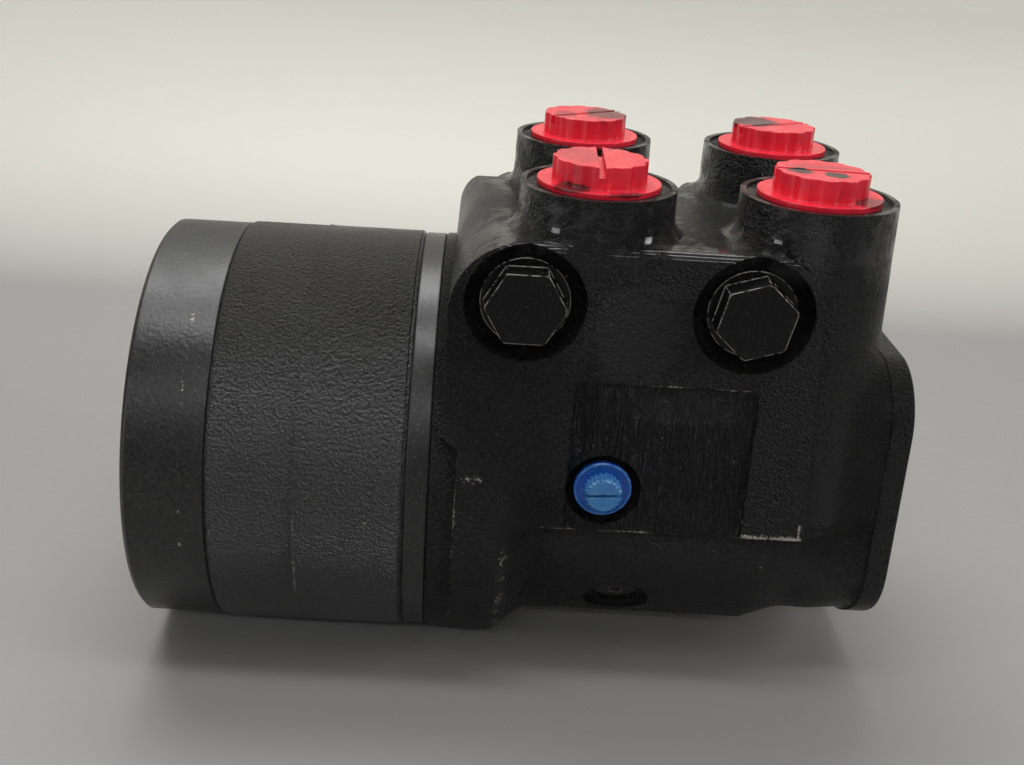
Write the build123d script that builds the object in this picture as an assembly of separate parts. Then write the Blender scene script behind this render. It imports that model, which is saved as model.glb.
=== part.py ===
"""Orbital steering unit. Millimetres. X runs along the steering axis with the column flange face at
x = 0 and +X out of it, Z is up towards the four ports, and the front face looks along -Y."""
import math
import os
from build123d import *

os.makedirs("parts", exist_ok=True)

# ---- driving dimensions ---------------------------------------------------------------------------
R_RING = 63.5                     # gear ring
L_COVER, L_RING, L_PLATE, L_HOUSING = 23.6, 55.6, 6.8, 140.2
R_COVER, R_PLATE, R_BAND, R_CAST = 62.8, 63.0, 63.3, 63.9
R_LOWER, R_NECK = 56.0, 51.9      # round underside of the housing, and the neck behind the flange
Y_FRONT = -56.5                   # flat front face
X_HEAD = -L_HOUSING               # gear-set end of the housing
X_RING1 = X_HEAD - L_PLATE
X_RING0 = X_RING1 - L_RING
X_COVER0 = X_RING0 - L_COVER

BLOCK_X0, BLOCK_X1 = -137.3, -36.0
BLOCK_TOP_FRONT, BLOCK_TOP_BACK, BLOCK_CORNER = 80.5, 74.5, 20.0
BLOCK_FRONT_R, BLOCK_BACK_R, BOSS_FLARE = 2.6, 22.0, 6.5
BLOCK_FOOT_Z, LAND_Z = -4.0, 22.0  # bottom edge of the flat front; where the cast land starts
BAND_W, DISC_W, DISC_EDGE, SWELL_SOFT = 7.4, 14.5, 2.9, 3.0
SWELL_X1 = -106.0                 # where the disc's swell meets the flat front
PANEL_X, PANEL_Z, PANEL_DEPTH, PANEL_R = (-101.5, -50.0), (-8.0, 42.0), 0.3, 4.0
PORT_X, PORT_Y, PORT_R, PORT_Z = (-97.5, -35.4), 32.5, 22.0, 92.6
COLUMN_FOOT_R = 23.9
PORT_SEAT_R, PORT_SEAT_DEPTH, PORT_THREAD_R = 20.3, 0.7, 13.0
HEX_X, HEX_Z, HEX_BORE_R, HEX_BORE_DEPTH = (-116.6, -54.6), 63.5, 16.7, 4.0
HEX_TURN = (0.0, 17.3)
HEX_AF, HEX_HIGH, HEX_THREAD_R = 19.6, 7.2, 9.0
LS_X, LS_Z, LS_BORE_R, LS_BORE_DEPTH, LS_THREAD_R = -90.9, 9.0, 10.8, 2.6, 5.5
SIDE_PLUG_X, SIDE_PLUG_ANGLE, SIDE_PLUG_R = -82.5, 216.3, 6.75
FLANGE_HALF, FLANGE_R, FLANGE_T = 42.4, 52.3, 6.5
FLANGE_CORNER, FLANGE_SIDE_R = 19.2, 22.0
NECK_TOP_Z = 41.6
FLANGE_PCD_R, FLANGE_HOLE_R, FLANGE_HOLE_DEPTH = 41.3, 4.25, 17.0

LOBES = 7                         # lobes in the ring; the rotor has one less
LOBE_R, LOBE_CIRCLE, ECC = 9.0, 42.0, 4.0
RING_CAVITY_R = 41.6
ROTOR_GAP = 0.06                  # running clearance between rotor and lobes
FIRST_LOBE = 270.0
SCREW_CIRCLE, SCREW_R, SCREW_HEAD_AF, SCREW_HEAD_H = 47.5, 4.0, 13.0, 5.3
SCREW_SEAT_DEPTH, SCREW_IN_HOUSING = 4.0, 20.0
ORING_R, ORING_CORD, ORING_GROOVE = 56.4, 0.79, 1.58

SLEEVE_R, SPOOL_R, SPOOL_BORE = 19.0, 14.5, 11.6
FIT = 0.03                        # radial running clearance
SLEEVE_X0, SLEEVE_X1 = X_HEAD + 0.25, -30.5
PIN_X, PIN_R = -52.0, 3.0
SPRING_X, SPRING_W, SPRING_T = -35.5, 6.0, 2.4
SHAFT_X_GEAR = -185.0             # middle of the shaft's spline in the rotor
SHAFT_R, SHAFT_TEETH = 8.0, 12
SOCKET_MINOR, SOCKET_MAJOR, SOCKET_TEETH = 8.8, 10.3, 12
NECK_R = 13.2                     # spool neck, through the shaft seal
DEFLECT = 10.0                    # spool against sleeve, either way


# ---- helpers --------------------------------------------------------------------------------------
def xcyl(r, x0, x1, y=0.0, z=0.0):
    return Pos((x0 + x1) / 2, y, z) * Rot(0, 90, 0) * Cylinder(r, abs(x1 - x0))


def ycyl(r, y0, y1, x=0.0, z=0.0):
    return Pos(x, (y0 + y1) / 2, z) * Rot(90, 0, 0) * Cylinder(r, abs(y1 - y0))


def zcyl(r, z0, z1, x=0.0, y=0.0):
    return Pos(x, y, (z0 + z1) / 2) * Cylinder(r, abs(z1 - z0))


def xtube(ro, ri, x0, x1):
    return xcyl(ro, x0, x1) - xcyl(ri, x0 - 1, x1 + 1)


def slab(x0, x1, y0, y1, z0, z1):
    return Pos((x0 + x1) / 2, (y0 + y1) / 2, (z0 + z1) / 2) * Box(x1 - x0, y1 - y0, z1 - z0)


def around(n, first):
    return [math.radians(first + k * 360.0 / n) for k in range(n)]


def turned(points):
    """A solid of revolution about X from (x, radius) points."""
    face = make_face(Polyline(*[(x, 0, r) for x, r in points], close=True))
    return revolve(face, Axis.X, 360)


def turned_soft(points, radius):
    """A solid of revolution about X whose outer corners are rounded."""
    outer = FilletPolyline(*[(x, 0, r) for x, r in points], radius=radius)
    (x0, _), (x1, _) = points[0], points[-1]
    ends = [Line(outer @ 1, (x1, 0, 0)), Line((x1, 0, 0), (x0, 0, 0)), Line((x0, 0, 0), outer @ 0)]
    return revolve(make_face([outer, *ends]), Axis.X, 360)


def yz_profile(points, x0, x1):
    """A prism along X from (y, z) points."""
    face = make_face(Polyline(*[(x0, y, z) for y, z in points], close=True))
    return extrude(face, amount=x1 - x0, dir=(1, 0, 0))


def xz_profile(points, y0, y1):
    """A prism along Y from (x, z) points."""
    face = make_face(Polyline(*[(x, y0, z) for x, z in points], close=True))
    return extrude(face, amount=y1 - y0, dir=(0, 1, 0))


def tooth_ring(teeth, r_in, r_out, gap):
    """(y, z) points of a straight-sided spline outline, teeth pointing out."""
    pts = []
    pitch = 2 * math.pi / teeth
    for k in range(teeth):
        a = k * pitch
        for part, r in ((-0.34, r_in), (-0.18, r_out), (0.18, r_out), (0.34, r_in)):
            t = a + part * pitch
            pts.append(((r + gap) * math.cos(t), (r + gap) * math.sin(t)))
    return pts


lobe_angles = around(LOBES, FIRST_LOBE)
valley_angles = around(LOBES, FIRST_LOBE + 180.0 / LOBES)
side_a = math.radians(SIDE_PLUG_ANGLE)
parts = {}


# ---- housing: machined band, cast disc, block with four port bosses, round underside, neck, flange ---
def block_top(y):
    """Height of the block's top, which falls slightly towards the back."""
    return BLOCK_TOP_FRONT + (BLOCK_TOP_BACK - BLOCK_TOP_FRONT) * (y - Y_FRONT) / (-2 * Y_FRONT)


def flare(r, z0, x, y):
    """The concave cast fillet at the foot of a round boss."""
    rim, top = r + BOSS_FLARE, z0 + BOSS_FLARE
    mid = BOSS_FLARE * (1 - math.sqrt(0.5))
    outline = [Line((0, 0, z0), (rim, 0, z0)), ThreePointArc((rim, 0, z0), (r + mid, 0, z0 + mid), (r, 0, top)),
               Line((r, 0, top), (0, 0, top)), Line((0, 0, top), (0, 0, z0))]
    return Pos(x, y, 0) * revolve(make_face(outline), Axis.Z, 360)


def arc(x, centre, r, a0, a1):
    """An arc across the axis at x; angles in radians from +Y towards +Z."""
    at = [(x, centre[0] + r * math.cos(a), centre[1] + r * math.sin(a)) for a in (a0, (a0 + a1) / 2, a1)]
    return ThreePointArc(*at)


def round_section(x, half, corner, low_r, side_r):
    """A face across the axis: flat top and flanks with round corners over a round underside."""
    c, drop = half - corner, math.sqrt((low_r - side_r) ** 2 - (half - side_r) ** 2)
    turn = math.atan2(drop, half - side_r)
    right = [arc(x, (c, c), corner, math.pi / 2, 0), Line((x, half, c), (x, half, -drop)),
             arc(x, (half - side_r, -drop), side_r, 0, -turn)]
    under = arc(x, (0, 0), low_r, -turn, turn - math.pi)
    left = [arc(x, (side_r - half, -drop), side_r, turn - math.pi, -math.pi),
            Line((x, -half, -drop), (x, -half, c)), arc(x, (-c, c), corner, math.pi, math.pi / 2)]
    return make_face([*right, under, *left, Line((x, -c, half), (x, c, half))])


def flank_section(x, half, top):
    """The front half of the neck above the block's foot, at x."""
    c, r = half - FLANGE_CORNER, FLANGE_CORNER
    return make_face([Line((x, 0, BLOCK_FOOT_Z), (x, -half, BLOCK_FOOT_Z)),
                      Line((x, -half, BLOCK_FOOT_Z), (x, -half, top - r)),
                      arc(x, (-c, top - r), r, math.pi, math.pi / 2),
                      Line((x, -c, top), (x, 0, top)), Line((x, 0, top), (x, 0, BLOCK_FOOT_Z))])


def swell_section(x, share):
    """Where the cast disc swells out of the flat front: share 1 on the disc, 0 on the flat."""
    flat, low, crossing = -Y_FRONT - 0.05, BLOCK_FOOT_Z + 0.6, LAND_Z + 9.0
    full = R_CAST - flat
    scale = 2 * full / (full + math.hypot(full, SWELL_SOFT))
    edge = []
    for z in (crossing + 15, crossing + 11, crossing + 6, crossing, crossing - 5, 22.0, 15.0, 8.0, 2.0, low):
        over = math.sqrt(R_CAST ** 2 - z ** 2) - flat
        over = (over + math.hypot(over, SWELL_SOFT)) / 2 * scale - max(0.0, z - crossing) / 15 * 0.2
        edge.append((x, -flat - share * over, z))
    curve = Spline(*edge)
    deep = Y_FRONT + 20.0
    return make_face([curve, Line(curve @ 1, (x, deep, low)), Line((x, deep, low), (x, deep, edge[0][2])),
                      Line((x, deep, edge[0][2]), curve @ 0)])


def make_housing():
    x_disc, x_step, x_rim = X_HEAD + BAND_W + DISC_W, BLOCK_X1 - 5.0, -FLANGE_T
    band = turned([(X_HEAD, 0), (X_HEAD, R_BAND - 0.4), (X_HEAD + 0.4, R_BAND), (X_HEAD + BAND_W, R_BAND),
                   (X_HEAD + BAND_W, 0)])
    disc = turned_soft([(X_HEAD + BAND_W, R_CAST), (x_disc - 0.5, R_CAST), (x_disc + 1.8, R_LOWER + 3.2),
                        (x_disc + 9.5, R_LOWER), (x_step + 1.5, R_LOWER), (x_step + 3.5, R_LOWER - 4.0)], DISC_EDGE)
    x_fade = x_disc - 3.0
    swell = extrude(swell_section(BLOCK_X0, 1.0), amount=x_fade - BLOCK_X0, dir=(1, 0, 0))
    x_band = X_HEAD + BAND_W
    swell -= xz_profile([(BLOCK_X0 - 1, LAND_Z + 2.6), (BLOCK_X0 + 0.4, LAND_Z + 2.4), (BLOCK_X0 + 1.6, LAND_Z + 0.9),
                         (BLOCK_X0 + 3.4, LAND_Z), (x_band, LAND_Z - 0.5), (x_band, -20), (BLOCK_X0 - 1, -20)], -80, 0)
    swell += loft([swell_section(x_fade + (SWELL_X1 - x_fade) * t, (1 + math.cos(math.pi * t)) / 2)
                   for t in (0.0, 0.2, 0.4, 0.6, 0.8, 1.0)])
    shoulder = [(x_fade + (SWELL_X1 - x_fade) * t, R_LOWER + (R_CAST - R_LOWER) * (1 + math.cos(math.pi * t)) / 2)
                for t in (0.0, 0.15, 0.3, 0.45, 0.6, 0.75, 0.9, 1.0)]
    shoulder = turned([(x_fade, 0), *shoulder, (SWELL_X1, 0)])
    shoulder &= xz_profile([(x_fade, BLOCK_FOOT_Z + 0.7), (SWELL_X1 - 1.0, BLOCK_FOOT_Z + 0.7), (x_disc + 9.3, -9),
                            (x_disc + 7.6, -16), (x_disc + 6.4, -26), (x_disc + 5.8, -40), (x_fade, -46)], -80, 0)
    swell += shoulder
    swell += mirror(swell, Plane.XZ)

    lean = (BLOCK_X1 + 4.0, BLOCK_FOOT_Z)
    front_view = xz_profile([(BLOCK_X0, LAND_Z), (BLOCK_X0, 100), (BLOCK_X1 - 2.0, 100), (BLOCK_X1, HEX_Z), lean,
                             (x_disc + 6.0, BLOCK_FOOT_Z), (x_disc - 4.0, LAND_Z - 10)], Y_FRONT, -Y_FRONT)
    side_view = yz_profile([(Y_FRONT, -30), (Y_FRONT, block_top(Y_FRONT)), (-Y_FRONT, block_top(-Y_FRONT)),
                            (-Y_FRONT, -30)], BLOCK_X0, BLOCK_X1 + 10)
    top_edges = side_view.edges().filter_by(Axis.X).sort_by(Axis.Z)[-2:].sort_by(Axis.Y)
    side_view = fillet(top_edges[-1], BLOCK_BACK_R)
    front_edge = side_view.edges().filter_by(Axis.X).sort_by(Axis.Y)[:2].sort_by(Axis.Z)[-1]
    side_view = fillet(front_edge, BLOCK_FRONT_R)
    corner, right_r = BLOCK_CORNER, BLOCK_TOP_FRONT - HEX_Z
    left_cut = slab(BLOCK_X0 - 5, BLOCK_X0 + corner, -80, 80, BLOCK_TOP_FRONT - corner, 120)
    left_cut -= ycyl(corner, -81, 81, BLOCK_X0 + corner, BLOCK_TOP_FRONT - corner)
    right_cut = slab(BLOCK_X1 - right_r, BLOCK_X1 + 10, -80, -PORT_Y, HEX_Z, 120)
    right_cut -= ycyl(right_r + 0.6, -81, 0, BLOCK_X1 - right_r, HEX_Z)
    block = (front_view & side_view) - left_cut - right_cut

    # the flanks sweep from the port columns in to the flange's rim, further down they follow the neck
    rim, x_neck = FLANGE_HALF - 0.15, BLOCK_X1 - 6.0
    run, side = x_rim + 0.01 - x_neck, FLANGE_SIDE_R - 0.4
    low = [(0.0, R_LOWER - 0.7, 40.0, R_LOWER - 0.4), (0.14, 54.0, 36.0, R_LOWER - 1.4),
           (0.30, 51.2, 30.0, R_NECK + 0.8), (0.50, 47.2, 25.0, R_NECK + 0.1), (0.75, rim + 1.2, side, R_NECK),
           (1.0, rim, side, R_NECK)]
    neck = loft([round_section(x_neck + run * t, half, FLANGE_CORNER, low_r, side_r) for t, half, side_r, low_r in low])
    high = [(0.0, -Y_FRONT - 0.4), (0.28, -Y_FRONT - 1.5), (0.52, -Y_FRONT - 5.0), (0.72, rim + 4.6),
            (0.88, rim + 1.1), (1.0, rim)]
    flank = loft([flank_section(x_neck + run * t, half, NECK_TOP_Z) for t, half in high])
    neck += flank + mirror(flank, Plane.XZ)
    flange = extrude(round_section(x_rim, FLANGE_HALF, FLANGE_CORNER, FLANGE_R, FLANGE_SIDE_R), amount=FLANGE_T,
                     dir=(1, 0, 0))
    flange = fillet(flange.faces().sort_by(Axis.X)[-1].edges(), 0.8)

    core_top, core_x1 = block_top(0) - 1.5, PORT_X[1] + 17.4
    body = disc + band + swell + block + neck + flange
    body += slab(BLOCK_X1 - 24, core_x1, -PORT_Y, PORT_Y, 0, core_top)
    inside = yz_profile([(Y_FRONT + 0.5, 0), (Y_FRONT + 0.5, BLOCK_TOP_FRONT - 0.4), (Y_FRONT + 7.0, BLOCK_TOP_FRONT + 8),
                         (-Y_FRONT - 8, BLOCK_TOP_FRONT + 8), (-Y_FRONT - 8, 0)], BLOCK_X0 + 4, BLOCK_X1 - 1)
    inside -= Pos(0, 0, 60) * extrude(make_face(Polyline((BLOCK_X1 - 16, Y_FRONT - 2, 0), (BLOCK_X1 - 8, Y_FRONT + 9, 0),
                                                         (BLOCK_X1 + 8, Y_FRONT + 9, 0), (BLOCK_X1 + 8, Y_FRONT - 2, 0),
                                                         close=True)), amount=60, dir=(0, 0, 1))
    inside += slab(BLOCK_X1 - 24, core_x1, -PORT_Y, PORT_Y, 0, 100)
    for y in (-PORT_Y, PORT_Y):
        boss_low = BLOCK_TOP_BACK - 24
        body += Pos(PORT_X[0], y, (PORT_Z + boss_low) / 2) * Cone(PORT_R + 0.8, PORT_R, PORT_Z - boss_low)
        body += Pos(PORT_X[1], y, PORT_Z / 2) * Cone(COLUMN_FOOT_R, PORT_R, PORT_Z)
        for x in PORT_X:
            body += flare(PORT_R + 0.1, block_top(y) - 1.0, x, y) & inside
    return body


housing = make_housing()

# ports: seat, thread bore, then a drilling down and a cross drilling into the spool bore
for px in PORT_X:
    for s in (-1, 1):
        py = s * PORT_Y
        housing -= zcyl(PORT_SEAT_R, PORT_Z - PORT_SEAT_DEPTH, PORT_Z + 3, px, py)
        housing -= zcyl(PORT_THREAD_R, PORT_Z - 20.0, PORT_Z, px, py)
        housing -= zcyl(6.0, 6.0, PORT_Z - 19.0, px, py)
        housing -= ycyl(5.5, 0, py, px, 8.0)
    housing -= xtube(SLEEVE_R + 3.0, SLEEVE_R - 2, px - 5, px + 5)

# front: two deep seats with cross drillings behind, the small sensing port, the milled panel
for hx in HEX_X:
    housing -= ycyl(HEX_BORE_R, Y_FRONT - 5, Y_FRONT + HEX_BORE_DEPTH, hx, HEX_Z)
    housing -= ycyl(HEX_THREAD_R + FIT, Y_FRONT, Y_FRONT + HEX_BORE_DEPTH + 16.0, hx, HEX_Z)
    housing -= ycyl(4.0, Y_FRONT + HEX_BORE_DEPTH + 15.0, 0, hx, HEX_Z)
housing -= ycyl(LS_BORE_R, Y_FRONT - 5, Y_FRONT + LS_BORE_DEPTH, LS_X, LS_Z)
housing -= ycyl(LS_THREAD_R + FIT, Y_FRONT, Y_FRONT + 13.0, LS_X, LS_Z)
panel = slab(*PANEL_X, Y_FRONT - 2, Y_FRONT + PANEL_DEPTH, *PANEL_Z)
housing -= fillet(panel.edges().filter_by(Axis.Y), PANEL_R)

# underside: seat and bore for the round plug
side_frame = Rot(SIDE_PLUG_ANGLE - 90, 0, 0)
housing -= Pos(SIDE_PLUG_X, 0, 0) * side_frame * zcyl(9.85, 54.3, 70.0)
housing -= Pos(SIDE_PLUG_X, 0, 0) * side_frame * zcyl(SIDE_PLUG_R + FIT, 46.0, 60.0)

# spool bore, bearing seat, seal groove, dust seal seat, flange holes, head holes
housing -= xcyl(SLEEVE_R + FIT, X_HEAD - 1, -24.5)
housing -= xcyl(SLEEVE_R + 2.0, -41.5, -24.5)
housing -= xcyl(14.2, -25, 1)
housing -= xcyl(18.0, -22.0, -15.5)
housing -= xcyl(19.0, -11.0, 1)
housing -= turned([(-1.0, 18.0), (0.1, 20.1), (0.1, 18.0)])
for a in (45, 135, 225, 315):
    t = math.radians(a)
    hole = (FLANGE_PCD_R * math.cos(t), FLANGE_PCD_R * math.sin(t))
    housing -= xcyl(FLANGE_HOLE_R, -FLANGE_HOLE_DEPTH, 1, *hole)
for t in lobe_angles:
    housing -= xcyl(SCREW_R + 0.02, X_HEAD - 1, X_HEAD + SCREW_IN_HOUSING + 2,
                    SCREW_CIRCLE * math.cos(t), SCREW_CIRCLE * math.sin(t))
for t in valley_angles:
    c, s = math.cos(t), math.sin(t)
    housing -= xcyl(3.0, X_HEAD - 1, X_HEAD + 26.0, 36.5 * c, 36.5 * s)
    housing -= Pos(X_HEAD + 23.0, 27.0 * c, 27.0 * s) * Rot(math.degrees(t) - 90, 0, 0) * Cylinder(2.6, 19.5)
housing -= xtube(ORING_R + 1.15, ORING_R - 1.15, X_HEAD - 1, X_HEAD + ORING_GROOVE)
parts["housing"] = housing

# ---- gear set: plate, ring, rotor, cover, screws, cords -------------------------------------------
plate = turned([(X_RING1, 12.5), (X_RING1, R_PLATE - 0.5), (X_RING1 + 0.5, R_PLATE), (X_HEAD - 0.5, R_PLATE),
                (X_HEAD, R_PLATE - 0.5), (X_HEAD, 12.5)])
for t in lobe_angles:
    plate -= xcyl(SCREW_R + 0.2, X_RING1 - 1, X_HEAD + 1, SCREW_CIRCLE * math.cos(t), SCREW_CIRCLE * math.sin(t))
for t in valley_angles:
    plate -= xcyl(3.0, X_RING1 - 1, X_HEAD + 1, 36.5 * math.cos(t), 36.5 * math.sin(t))
parts["distributor_plate"] = plate

XM = (X_RING0 + X_RING1) / 2 - 3.0
ring = turned([(X_RING0, 0), (X_RING0, R_RING - 1.0), (X_RING0 + 1.0, R_RING - 0.1), (XM - 0.6, R_RING - 0.1),
               (XM, R_RING + 0.25), (XM + 0.6, R_RING), (X_RING1 - 1.0, R_RING), (X_RING1, R_RING - 1.0),
               (X_RING1, 0)])
cavity = xcyl(RING_CAVITY_R, X_RING0 - 1, X_RING1 + 1)
for t in lobe_angles:
    cavity -= xcyl(LOBE_R, X_RING0 - 2, X_RING1 + 2, LOBE_CIRCLE * math.cos(t), LOBE_CIRCLE * math.sin(t))
ring -= cavity
for t in lobe_angles:
    ring -= xcyl(SCREW_R + 0.2, X_RING0 - 1, X_RING1 + 1, SCREW_CIRCLE * math.cos(t), SCREW_CIRCLE * math.sin(t))
ring -= xtube(ORING_R + 1.15, ORING_R - 1.15, X_RING0 - 1, X_RING0 + ORING_GROOVE)
ring -= xtube(ORING_R + 1.15, ORING_R - 1.15, X_RING1 - ORING_GROOVE, X_RING1 + 1)
parts["gear_ring"] = ring

for name, x in (("cord_housing", X_HEAD + ORING_GROOVE / 2), ("cord_plate", X_RING1 - ORING_GROOVE / 2),
                ("cord_cover", X_RING0 + ORING_GROOVE / 2)):
    parts[name] = Pos(x, 0, 0) * Rot(0, 90, 0) * Torus(ORING_R, ORING_CORD)

cover = turned([(X_COVER0, 0), (X_COVER0, R_COVER - 1.2), (X_COVER0 + 1.2, R_COVER),
                (X_RING0 - 0.6, R_COVER), (X_RING0, R_COVER - 0.6), (X_RING0, 0)])
screws = []
for t in lobe_angles:
    y, z = SCREW_CIRCLE * math.cos(t), SCREW_CIRCLE * math.sin(t)
    cover -= xcyl(SCREW_R + 0.2, X_COVER0 - 1, X_RING0 + 1, y, z)
    cover -= xcyl(9.5, X_COVER0 - 1, X_COVER0 + SCREW_SEAT_DEPTH, y, z)
    seat = X_COVER0 + SCREW_SEAT_DEPTH
    hexagon = extrude(Plane.YZ * RegularPolygon(SCREW_HEAD_AF / 2, 6, major_radius=False), SCREW_HEAD_H)
    head = Pos(seat - SCREW_HEAD_H, y, z) * Rot(math.degrees(t), 0, 0) * hexagon
    crown = Pos(seat - SCREW_HEAD_H / 2, y, z) * Rot(0, 90, 0) * Cone(4.6, 10.0, SCREW_HEAD_H)
    head &= Pos(seat - SCREW_HEAD_H, 0, 0) * xcyl(7.2, 0, SCREW_HEAD_H, y, z) & crown
    screws.append(head + xcyl(SCREW_R, seat, X_HEAD + SCREW_IN_HOUSING, y, z))
parts["end_cover"] = cover
parts["cover_screws"] = Compound(children=screws)


def rotor_outline(n, steps_per_lobe=24):
    """(u, v) points of the rotor in its own frame; +u points at the lobe it is deepest in."""
    r = LOBE_R + ROTOR_GAP
    pts = []
    total = (n - 1) * steps_per_lobe
    for k in range(total):
        q = 2 * math.pi * k / total
        psi = math.atan2(math.sin((1 - n) * q), LOBE_CIRCLE / (ECC * n) - math.cos((1 - n) * q))
        pts.append((LOBE_CIRCLE * math.cos(q) - r * math.cos(q + psi) - ECC * math.cos(n * q),
                    -LOBE_CIRCLE * math.sin(q) + r * math.sin(q + psi) + ECC * math.sin(n * q)))
    return pts


# rotor centre is ECC below the axis, deepest in the lobe at 270 degrees: u -> -Z, v -> +Y
rotor_pts = [(X_RING0 + 0.03, v, -u - ECC) for u, v in rotor_outline(LOBES)]
rotor = extrude(make_face(Spline(*rotor_pts, periodic=True)), amount=L_RING - 0.06, dir=(1, 0, 0))
bore_pts = tooth_ring(SHAFT_TEETH, 12.2, 14.4, 0.0)
rotor -= Pos(0, 0, -ECC) * yz_profile(bore_pts, X_RING0 - 1, X_RING1 + 1)
parts["rotor"] = rotor

parts["shaft_stop"] = xcyl(11.4, X_RING0 + 0.1, X_RING0 + 6.0, 0, -ECC)

# ---- drive shaft: tilted from the pin at PIN_X to the rotor's centre --------------------------------
SHAFT_L = PIN_X - SHAFT_X_GEAR
TILT = math.degrees(math.atan2(ECC, SHAFT_L))
shaft = turned([(-8.0 - SHAFT_L, 0), (-8.0 - SHAFT_L, 9.0), (8.5 - SHAFT_L, 9.0), (11.5 - SHAFT_L, SHAFT_R),
                (-20.0, SHAFT_R), (-14.0, 9.4), (4.8, 9.4), (6.8, 7.4), (6.8, 0)])
crown = turned([(-7.5 - SHAFT_L, 0), (-7.5 - SHAFT_L, 12.6), (-3.0 - SHAFT_L, 13.6), (3.0 - SHAFT_L, 13.6),
                (7.5 - SHAFT_L, 12.6), (7.5 - SHAFT_L, 0)])
for k in range(SHAFT_TEETH):
    half = ((-7.5, 1.7), (-3.0, 2.1), (3.0, 2.1), (7.5, 1.7))
    outline = [(x - SHAFT_L, w * 0.72) for x, w in half] + [(x - SHAFT_L, -w * 0.72) for x, w in reversed(half)]
    face = make_face(Polyline(*[(x, w, 8.0) for x, w in outline], close=True))
    tooth = extrude(face, amount=6.0, dir=(0, 0, 1))
    shaft += (Rot(k * 360.0 / SHAFT_TEETH, 0, 0) * tooth) & crown
shaft -= slab(-5.5, 12, -12, 12, -PIN_R - 0.03, PIN_R + 0.03)
parts["drive_shaft"] = Pos(PIN_X, 0, 0) * Rot(0, -TILT, 0) * shaft

# ---- valve group: sleeve, spool, pin, leaf springs, ring -------------------------------------------
sleeve = xtube(SLEEVE_R, SPOOL_R + FIT, SLEEVE_X0, SLEEVE_X1)
sleeve -= xtube(SLEEVE_R + 1, 17.5, -41.0, SLEEVE_X1 + 1)
sleeve -= ycyl(PIN_R + 0.01, -25, 25, PIN_X, 0)
sleeve -= slab(SPRING_X - SPRING_W / 2 - 0.05, SPRING_X + SPRING_W / 2 + 0.05, -SPRING_T / 2 - 0.02,
               SPRING_T / 2 + 0.02, -25, 25)
for k in range(6):
    for x, r in ((-117.2, 2.2), (PORT_X[0], 2.6), (-77.0, 2.2), (-66.0, 2.2)):
        sleeve -= Pos(x, 0, 0) * Rot(60 * k + 15, 0, 0) * zcyl(r, 10, 25)
parts["sleeve"] = sleeve

spool = xcyl(SPOOL_R, SLEEVE_X0, -30.0) + xcyl(NECK_R, -31, -2.0)
spool -= xcyl(SPOOL_BORE, SLEEVE_X0 - 1, -44.0)
spool -= yz_profile(tooth_ring(SOCKET_TEETH, SOCKET_MINOR, SOCKET_MAJOR, 0), -29.0, 0)
spool -= turned([(-4.2, 8.0), (-1.5, 11.2), (-1.5, 8.0)])
spool -= slab(PIN_X - 3.3, PIN_X + 3.3, -20, 20, -5.9, 5.9)
spool -= slab(SPRING_X - SPRING_W / 2 - 0.2, SPRING_X + SPRING_W / 2 + 0.2, -3.9, 3.9, -20, 20)
for k in range(6):
    spool -= Pos(-92.0, 0, 0) * Rot(60 * k + 45, 0, 0) * slab(-9, 9, -1.6, 1.6, 12.9, 20)
spool -= xtube(SPOOL_R + 1, 13.1, -80.0, -73.0)
parts["spool"] = spool

parts["cross_pin"] = ycyl(PIN_R, -18.8, 18.8, PIN_X, 0)
leaves = []
for k in range(4):
    y0 = -SPRING_T / 2 + k * SPRING_T / 4
    leaves.append(slab(SPRING_X - SPRING_W / 2, SPRING_X + SPRING_W / 2, y0, y0 + SPRING_T / 4, -17.3, 17.3))
parts["centring_springs"] = Compound(children=leaves)
parts["spring_ring"] = xtube(18.9, 17.53, -39.8, -31.2)

# ---- thrust bearing and seals ----------------------------------------------------------------------
parts["bearing_race_inner"] = xtube(19.6, NECK_R + 0.05, -29.95, -28.6)
parts["bearing_race_outer"] = xtube(20.9, 14.3, -26.0, -24.55)
needles, cage = [], xtube(20.0, 14.0, -28.2, -26.4)
for t in around(16, 0):
    roller = Pos(-27.3, 17.0 * math.cos(t), 17.0 * math.sin(t)) * Rot(math.degrees(t) - 90, 0, 0)
    needles.append(roller * Cylinder(1.25, 4.4))
    cage -= roller * Cylinder(1.27, 4.44)
parts["bearing_cage"] = cage
parts["bearing_needles"] = Compound(children=needles)
parts["shaft_seal"] = xtube(17.95, NECK_R + 0.02, -21.8, -15.7)
parts["dust_seal"] = turned([(-10.9, NECK_R + 0.05), (-10.9, 18.95), (-2.5, 18.95), (-2.5, 17.2), (-6.0, 16.6),
                             (-6.0, 14.6), (-3.4, NECK_R + 0.9), (-3.0, NECK_R + 0.05)])

# ---- plugs and caps --------------------------------------------------------------------------------
seat_y = Y_FRONT + HEX_BORE_DEPTH
for name, hx, turn in zip(("front_plug_a", "front_plug_b"), HEX_X, HEX_TURN):
    hexagon = extrude(Plane.XZ * RegularPolygon(HEX_AF / 2, 6, major_radius=False), HEX_HIGH)
    head = Rot(0, -turn, 0) * hexagon
    cone = Pos(0, -HEX_HIGH / 2, 0) * Rot(90, 0, 0) * Cone(HEX_AF / 2 + 5.0, HEX_AF / 2 + 1.15, HEX_HIGH)
    plug = Pos(hx, seat_y - 1.2, HEX_Z) * (head & cone)
    plug += ycyl(12.4, seat_y - 1.2, seat_y, hx, HEX_Z) + ycyl(HEX_THREAD_R, seat_y, seat_y + 15.0, hx, HEX_Z)
    plug -= ycyl(4.0, seat_y + 7.0, seat_y + 16.0, hx, HEX_Z)
    parts[name] = plug

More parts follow.
